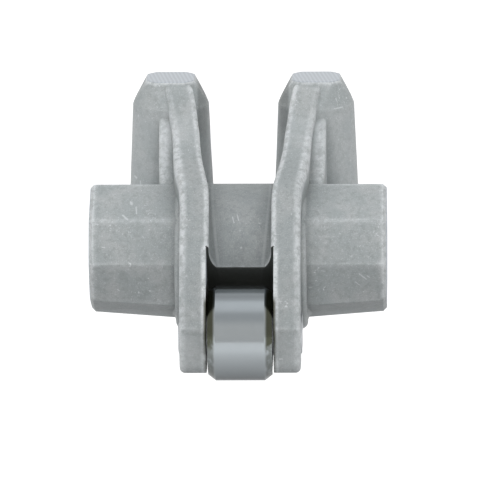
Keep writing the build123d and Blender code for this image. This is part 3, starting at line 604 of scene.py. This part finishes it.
FINISHES = {
    "forged_steel": forged_steel(),
    "ground_steel": bright_steel("ground_steel", ROLLER_TONE, ROLLER_SHADE, "x", 0.18 * MM, 0.10, with_oil_and_shade=True),
    "pin_steel": bright_steel("pin_steel", GREY_TONE, GREY_SHADE, "x", 0.25 * MM, 0.26),
    "needle_steel": bright_steel("needle_steel", GREY_TONE, GREY_SHADE, "x", 0.12 * MM, 0.14),
    "adjuster_steel": bright_steel("adjuster_steel", GREY_TONE, GREY_SHADE, "z", 0.20 * MM, 0.24),
    "spring_steel": bright_steel("spring_steel", DARK_TONE, DARK_SHADE, "z", 0.15 * MM, 0.30),
    "pressed_steel": bright_steel("pressed_steel", GREY_TONE, DARK_TONE, "z", 0.40 * MM, 0.32),
    "ball_steel": bright_steel("ball_steel", GREY_TONE, GREY_SHADE, "z", 0.30 * MM, 0.10),
}

for piece in frame["record"]["subparts"]:
    shown = nodes[piece["node"]]
    shown.data.materials.clear()
    shown.data.materials.append(FINISHES[piece["material_slot"]])


# ---- Studio ------------------------------------------------------------------------------------
def pale_floor():
    """Matt floor, white to the camera and clear from below; in mirror-like metal its glow is dimmed under the
    object, a painted shadow.
    """
    material, tree, surface = start_material("pale_floor")
    surface.inputs["Base Color"].default_value = FLOOR_GREY
    surface.inputs["Roughness"].default_value = 0.9
    surface.inputs["Emission Color"].default_value = WHITE
    path = put(tree, "ShaderNodeLightPath").outputs
    seen = calc(tree, "MAXIMUM", path["Is Camera Ray"], path["Is Transmission Ray"])
    under = (0.0, MIRRORED_CENTRE_Y, packed_low.z - FLOOR_DROP)
    aside = put(tree, "ShaderNodeVectorMath", {0: object_point(tree), 1: under}, operation="DISTANCE")
    # the glow seen in mirror-like metal fades toward the middle under the object: a painted shadow
    rise = calc(tree, "DIVIDE", aside.outputs[1], MIRRORED_REACH, clamp=True)
    mirrored = product(tree, path["Is Glossy Ray"], rise, MIRRORED_RISE)
    glow = calc(tree, "MULTIPLY_ADD", seen, FLOOR_LIFT, mirrored)
    tree.links.new(glow, surface.inputs["Emission Strength"])
    from_below = put(tree, "ShaderNodeNewGeometry").outputs["Backfacing"]
    clear = put(tree, "ShaderNodeBsdfTransparent").outputs[0]
    shown = put(tree, "ShaderNodeMixShader", {0: from_below, 1: surface.outputs[0], 2: clear})
    tree.links.new(shown.outputs[0], tree.nodes["Material Output"].inputs["Surface"])
    return material


def make_floor():
    """Wide flat floor below the roller, with the object near its front edge."""
    floor_z = packed_low.z - FLOOR_DROP
    far = FLOOR_REACH
    mesh = bpy.data.meshes.new("floor")
    corners = [(-far, -FLOOR_FRONT), (far, -FLOOR_FRONT), (far, far), (-far, far)]
    mesh.from_pydata([(x, y, floor_z) for x, y in corners], [], [(0, 1, 2, 3)])
    mesh.materials.append(pale_floor())
    floor = bpy.data.objects.new("floor", mesh)
    bpy.context.scene.collection.objects.link(floor)


def make_world():
    """Soft dome: bright overhead, a dim ring below that, and a warm grey room at eye level."""
    world = bpy.data.worlds.new("studio")
    bpy.context.scene.world = world
    world.use_nodes = True
    tree = world.node_tree
    tree.nodes.clear()
    _, back, height = split(tree, put(tree, "ShaderNodeTexCoord").outputs["Generated"])
    ramp = put(tree, "ShaderNodeValToRGB", {"Fac": calc(tree, "MULTIPLY_ADD", height, 0.5, 0.5)})
    stops = ramp.color_ramp.elements
    for stop, (place, colour) in zip(stops, (DOME[0], DOME[-1])):
        stop.position, stop.color = place, (*colour, 1.0)
    for place, colour in DOME[1:-1]:
        stops.new(place).color = (*colour, 1.0)
    path = put(tree, "ShaderNodeLightPath").outputs
    clear = calc(tree, "MAXIMUM", path["Is Camera Ray"], path["Is Transmission Ray"])
    mirrored = calc(tree, "MAXIMUM", clear, path["Is Glossy Ray"])
    dim = product(tree, between(tree, height, *DIM_HEIGHT), between(tree, back, *DIM_BACK),
                  calc(tree, "SUBTRACT", 1.0, clear))
    strength = blend_value(tree, mirrored, DOME_LEVEL, 1.0)
    strength = product(tree, strength, calc(tree, "MULTIPLY_ADD", dim, DIM_SHADE, 1.0))
    colour = blend(tree, clear, ramp.outputs["Color"], WHITE)
    background = put(tree, "ShaderNodeBackground", {"Color": colour, "Strength": strength})
    output = tree.nodes.new("ShaderNodeOutputWorld")
    tree.links.new(background.outputs[0], output.inputs["Surface"])


def soft_lamp(name, place, width, height, power):
    """Square-edged lamp that points at the shaft's middle and isn't seen in mirror-like metal."""
    lamp = bpy.data.lights.new(name, "AREA")
    lamp.shape = "RECTANGLE"
    lamp.size, lamp.size_y, lamp.energy = width, height, power
    holder = bpy.data.objects.new(name, lamp)
    holder.location = place
    holder.rotation_mode = "QUATERNION"
    holder.rotation_quaternion = (-Vector(place)).to_track_quat("-Z", "Y")
    holder.visible_glossy = False
    bpy.context.scene.collection.objects.link(holder)


def make_camera():
    """Camera in front of the arm, a little above it and to its right."""
    rise, turn = math.radians(VIEW_ELEVATION), math.radians(VIEW_TURN)
    back = Vector((math.sin(turn) * math.cos(rise), -math.cos(turn) * math.cos(rise), math.sin(rise)))
    aim = (-back).to_track_quat("-Z", "Y") @ Matrix.Rotation(math.radians(-VIEW_ROLL), 3, "Z").to_quaternion()
    across, up = aim @ Vector((1, 0, 0)), aim @ Vector((0, 1, 0))
    data = bpy.data.cameras.new("camera")
    data.sensor_width = SENSOR_WIDTH
    data.lens = SENSOR_WIDTH * VIEW_DISTANCE / FRAME_WIDTH
    data.clip_start, data.clip_end = 0.05, 30.0
    camera = bpy.data.objects.new("camera", data)
    camera.rotation_mode = "QUATERNION"
    camera.rotation_quaternion = aim
    camera.location = back * VIEW_DISTANCE + across * FRAME_RIGHT + up * FRAME_UP
    bpy.context.scene.collection.objects.link(camera)
    bpy.context.scene.camera = camera


make_camera()
make_world()
make_floor()
for name, settings in LAMPS.items():
    soft_lamp(name, *settings)
bpy.context.scene.view_settings.view_transform = "Standard"
